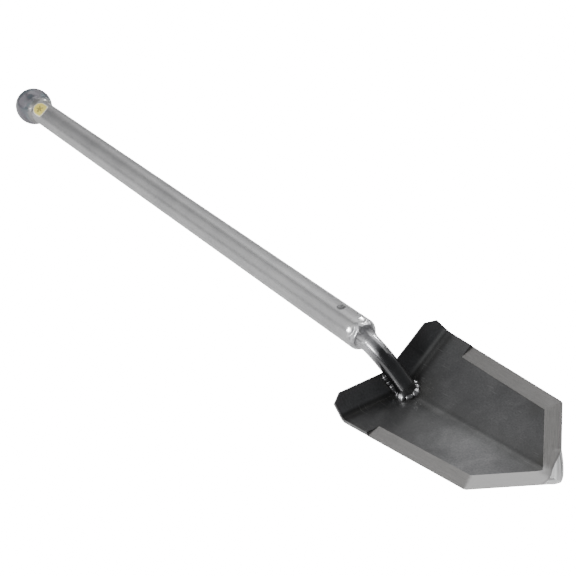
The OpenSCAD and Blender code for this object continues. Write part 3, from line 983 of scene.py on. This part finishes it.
def plate_faces(a, b, d):
    """Depths below the inside face of the plate's two surfaces, how far each point of
    the inside is ground, how far it is inside the point's blunt facet, and whether it is
    nearer a tip edge than a side edge."""
    d_side, d_tip = edge_depths(a, b)
    inner = np.minimum(d_side, d_tip)
    run = (BLADE_LEN - a) * math.cos(TIP_TURN) + np.abs(b) * math.sin(TIP_TURN)
    blunt = np.clip(1.0 - run / np.where(b < 0, BLUNT_RUN[-1], BLUNT_RUN[1]), 0.0, 1.0) ** 0.6
    cut = ((PLATE_T - EDGE_T) - inner * BEVEL_SLOPE) * (1.0 - 0.8 * blunt)
    started = np.clip((a - BEVEL_FROM + 0.35) / 0.35, 0.0, 1.0)
    ground = started * np.clip((BEVEL_W + 0.4 - inner) / 0.8, 0.0, 1.0)
    top = np.maximum(cut, 0.0) * started * (inner < BEVEL_W)
    # a steeper facet blunts the point, and narrows to nothing along each tip edge
    rightness = np.clip(b / 8.0 + 0.5, 0.0, 1.0)
    spread = FACET_SPREAD[-1] + (FACET_SPREAD[1] - FACET_SPREAD[-1]) * rightness
    inward = FACET_W - spread * run - d_tip
    top = np.minimum(top + FACET_STEEP * np.clip(inward, 0.0, None), PLATE_T - LAND)
    bottom = np.full(a.shape, PLATE_T - 0.02)
    # rounded edges, sharper where the plate is ground
    for surface, sign, sharp_r in ((top, 1.0, 0.12), (bottom, -1.0, 0.2)):
        radius = np.where(ground > 0.5, sharp_r, 0.7)
        near = np.clip(radius - d, 0.0, None)
        surface += sign * (radius - np.sqrt(np.maximum(radius**2 - near**2, 0.0)))
    for i in range(len(a)):
        swell = 0.035 * fbm((a[i], b[i], 0.0), 22.0)
        top[i] += 0.03 + swell + 0.03 * ground[i] * fbm((a[i] * 0.3, b[i], 4.0), 6.0)
        bottom[i] += swell - 0.03
    tip = np.clip((d_side - d_tip) / 0.6 + 0.5, 0.0, 1.0)
    return np.minimum(top, bottom - 0.12), bottom, ground, inward, tip


# ---------------------------------------------------------------- blade welds
def foot_frame():
    """Origin and directions of the shank's foot: up the shank, away from the ears."""
    (x, z), a = shank_path()[-1]
    end = np.array([x + 0.6 * math.cos(SHANK_DROP), 0.0, z - 0.6 * math.sin(SHANK_DROP)])
    up = np.array([-math.cos(SHANK_DROP), 0.0, math.sin(SHANK_DROP)])
    out = np.array([math.sin(SHANK_DROP), 0.0, math.cos(SHANK_DROP)])
    return end, up, out


def bead(path, normals, radius, ripples, steps=14, count=220, seed=0.0):
    """A rippled weld bead along a path, made of overlapping drops. The third result is
    how near each point is to the crest of its drop, which sets the painted light on it."""
    path, normals = np.array(path), np.array(normals)
    length = np.concatenate([[0.0], np.cumsum(np.linalg.norm(np.diff(path, axis=0), axis=1))])
    at = np.linspace(0.0, length[-1], count)
    centre, lean = (np.column_stack([np.interp(at, length, line[:, i]) for i in range(3)])
                    for line in (path, normals))
    lean /= np.linalg.norm(lean, axis=1)[:, None]
    along = np.gradient(centre, axis=0)
    along /= np.linalg.norm(along, axis=1)[:, None]
    aside = np.cross(along, lean)
    rng = np.random.default_rng(int(seed * 10) + 11)
    widths = rng.uniform(0.55, 1.45, ripples)
    starts = np.concatenate([[0.0], np.cumsum(widths)]) / widths.sum()
    sizes = rng.uniform(0.84, 1.16, ripples)
    # each drop's crest, with its swell and its painted light, is scaled at random
    drop_swell_and_light = rng.uniform(0.55, 1.0, ripples)
    verts, rings, crests = [], [], []
    for i, share in enumerate(at / length[-1]):
        which = min(ripples - 1, int(np.searchsorted(starts, share, side="right")) - 1)
        drop = (share - starts[which]) / (starts[which + 1] - starts[which])
        crest = math.sqrt(max(0.0, 1.0 - (2.0 * drop - 1.0) ** 2)) * drop_swell_and_light[which]
        swell = sizes[which] * (0.66 + 0.38 * crest)
        taper = min(1.0, 6 * share + 0.25) * min(1.0, 6 * (1 - share) + 0.25)
        r = radius * swell * taper ** 0.5 * (1 + 0.12 * fbm(centre[i], 5.0, seed=seed))
        ring = []
        for t in turns(steps):
            lag = -0.1375 * radius * (1 - math.cos(t))
            out = math.cos(t) * lean[i] + 1.15 * math.sin(t) * aside[i]
            ring.append(centre[i] + r * out + lag * along[i])
        rings.append(add_ring(verts, ring))
        crests += [crest] * steps
    first, last = (add_ring(verts, [centre[end]]) * steps for end in (0, -1))
    crests += [0.0, 0.0]
    return np.array(verts), stitch([first] + rings + [last]), crests


def make_side_weld(side, name, node):
    """A bead between the shank's foot and an ear, with less painted light towards its upper end.
    """
    end, up, out = foot_frame()
    heights = np.linspace(1.5, EAR_H - 1.0, 24)
    path = [end + up * h - out * 4.9 + side * 8.6 * ASIDE for h in heights]
    normals = [out * 0.75 + side * 0.6 * ASIDE] * len(path)
    verts, faces, crests = bead(path, normals, 2.3, 3, seed=3.0 + side)
    # painted light on the crests fades towards the upper end
    crests = [c * (0.9 - 0.6 * i / len(crests)) for i, c in enumerate(crests)]
    piece(name, node, "blade_weld", verts, faces, crest=crests)


def make_toe_weld():
    """The bead round the front of the shank's foot, with the fill under it."""
    path, normals = [], []
    for t in np.linspace(math.radians(-118), math.radians(118), 60):
        path.append(bend(4.2 + 9.0 * math.cos(t), 9.2 * math.sin(t), -0.7))
        normals.append(0.8 * RISE + 0.5 * (math.cos(t) * KEEL + math.sin(t) * ASIDE))
    verts, faces, crests = bead(path, normals, 3.3, 6, count=330, seed=5.0)
    # the fill: a skirt from the plate up to the shank
    end, up, out = foot_frame()
    verts, rings, levels = list(verts), [], 4
    for level in range(levels + 1):
        share = level / levels
        ring = []
        for t in turns(72):
            a = 4.5 + 9.9 * math.cos(t) if math.cos(t) > -0.2 else 2.3
            foot = bend(a, 9.9 * math.sin(t) + 1e-6, 0.4)
            way = math.cos(t) * out + math.sin(t) * ASIDE
            rod = end + up * 1.6 + (SHANK_R + 0.15) * way
            ring.append(foot * (1 - share) + rod * share)
        rings.append(add_ring(verts, ring))
        # the fill gets a middling share of painted light
        crests += [0.55] * len(ring)
    piece("blade_weld_toe_bead", "blade_weld_toe", "blade_weld", verts, faces + stitch(rings),
          crest=crests)


def dress_cad(node, material):
    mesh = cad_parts[node].data
    mesh.materials.clear()
    mesh.materials.append(material)


make_tube()
make_plug("plug_weld_upper_cap", "plug_weld_upper", PLUG_TURN, 1.2)
make_plug("plug_weld_lower_cap", "plug_weld_lower", PLUG_TURN + math.pi, 0.5)
make_ball()
make_ball_weld()
make_end_weld()
make_shank()
make_label()
make_blade()
make_side_weld(-1, "blade_weld_left_bead", "blade_weld_left")
make_side_weld(1, "blade_weld_right_bead", "blade_weld_right")
make_toe_weld()
dress_cad("blade_weld_heel", HEEL_STEEL)
dress_cad("shank_sleeve", SLEEVE_STEEL)


# ---------------------------------------------------------------- stage, in m
FLOOR_REACH = 6.0
WHITE = 16.0
FLOOR_GLOW = 0.4
WORLD_GLOW = 0.17
AIM = Vector((0.1, 0.0, 0.03))
# Name, azimuth, elevation, distance, width, height and radiance.
LAMPS = [
    ("panel_right_high", 119, 59, 4.0, 6.4, 1.9, 1.85),
    ("panel_right_low", 119, 30, 4.0, 6.4, 2.0, 0.8),
    ("panel_left", -110, 34, 4.0, 7.2, 3.4, 1.2),
    ("panel_back", 180, 42, 5.0, 3.2, 3.4, 0.22),
    ("lamp_right", 100, 31, 1.8, 0.28, 0.28, 44.0),
    ("lamp_left", -80, 21, 1.8, 0.34, 0.34, 44.0),
]
CAMERA_AT = Vector((0.78845, -0.47641, 0.58773))
CAMERA_AZIMUTH = -35.241
CAMERA_ELEVATION = 34.26
CAMERA_ROLL = -1.901


def compass(azimuth, elevation):
    """The direction of an azimuth and an elevation, in degrees."""
    a, e = math.radians(azimuth), math.radians(elevation)
    return Vector((math.cos(a) * math.cos(e), math.sin(a) * math.cos(e), math.sin(e)))


def make_floor():
    """A pale floor that shows as white to the camera."""
    mesh = bpy.data.meshes.new("floor")
    ways = ((-1, -1), (1, -1), (1, 1), (-1, 1))
    corners = [(x * FLOOR_REACH, y * FLOOR_REACH, 0) for x, y in ways]
    mesh.from_pydata(corners, [], [(0, 1, 2, 3)])
    n = Nodes("pale_floor")
    seen = n.node("ShaderNodeLightPath").outputs["Is Camera Ray"]
    n.finish(Base_Color=0.86, Roughness=0.9, Emission_Color=1.0,
             Emission_Strength=n.line(seen, WHITE - FLOOR_GLOW, FLOOR_GLOW))
    mesh.materials.append(n.material)
    floor = add_object("floor", mesh)


def softbox(name, azimuth, elevation, distance, width, height, radiance):
    """A rectangular lamp in a compass direction from the blade's end of the tool."""
    way = compass(azimuth, elevation)
    lamp = bpy.data.lights.new(name, "AREA")
    lamp.shape = "RECTANGLE"
    lamp.size, lamp.size_y = width, height
    lamp.energy = radiance * math.pi * width * height
    obj = add_object(name, lamp)
    obj.location = AIM + way * distance
    obj.rotation_mode = "QUATERNION"
    obj.rotation_quaternion = way.to_track_quat("Z", "Y")


def make_world():
    """A dim even glow, which shows as white to the camera."""
    world = bpy.data.worlds.new("studio")
    world.use_nodes = True
    tree = world.node_tree
    background = tree.nodes["Background"]
    background.inputs["Color"].default_value = (0.95, 0.97, 1.0, 1.0)
    seen = tree.nodes.new("ShaderNodeLightPath").outputs["Is Camera Ray"]
    strength = tree.nodes.new("ShaderNodeMath")
    strength.operation = "MULTIPLY_ADD"
    tree.links.new(seen, strength.inputs[0])
    strength.inputs[1].default_value = WHITE - WORLD_GLOW
    strength.inputs[2].default_value = WORLD_GLOW
    tree.links.new(strength.outputs[0], background.inputs["Strength"])
    bpy.context.scene.world = world


def make_camera():
    """The photograph's viewpoint."""
    data = bpy.data.cameras.new("camera")
    data.sensor_width = 36.0
    data.lens = 66.25
    data.clip_start, data.clip_end = 0.05, 30.0
    camera = add_object("camera", data)
    back = compass(CAMERA_AZIMUTH, CAMERA_ELEVATION).to_track_quat("Z", "Y").to_matrix().to_4x4()
    roll = Matrix.Rotation(math.radians(CAMERA_ROLL), 4, "Z")
    camera.matrix_world = Matrix.Translation(CAMERA_AT) @ back @ roll
    bpy.context.scene.camera = camera


make_floor()
for lamp in LAMPS:
    softbox(*lamp)
make_world()
make_camera()
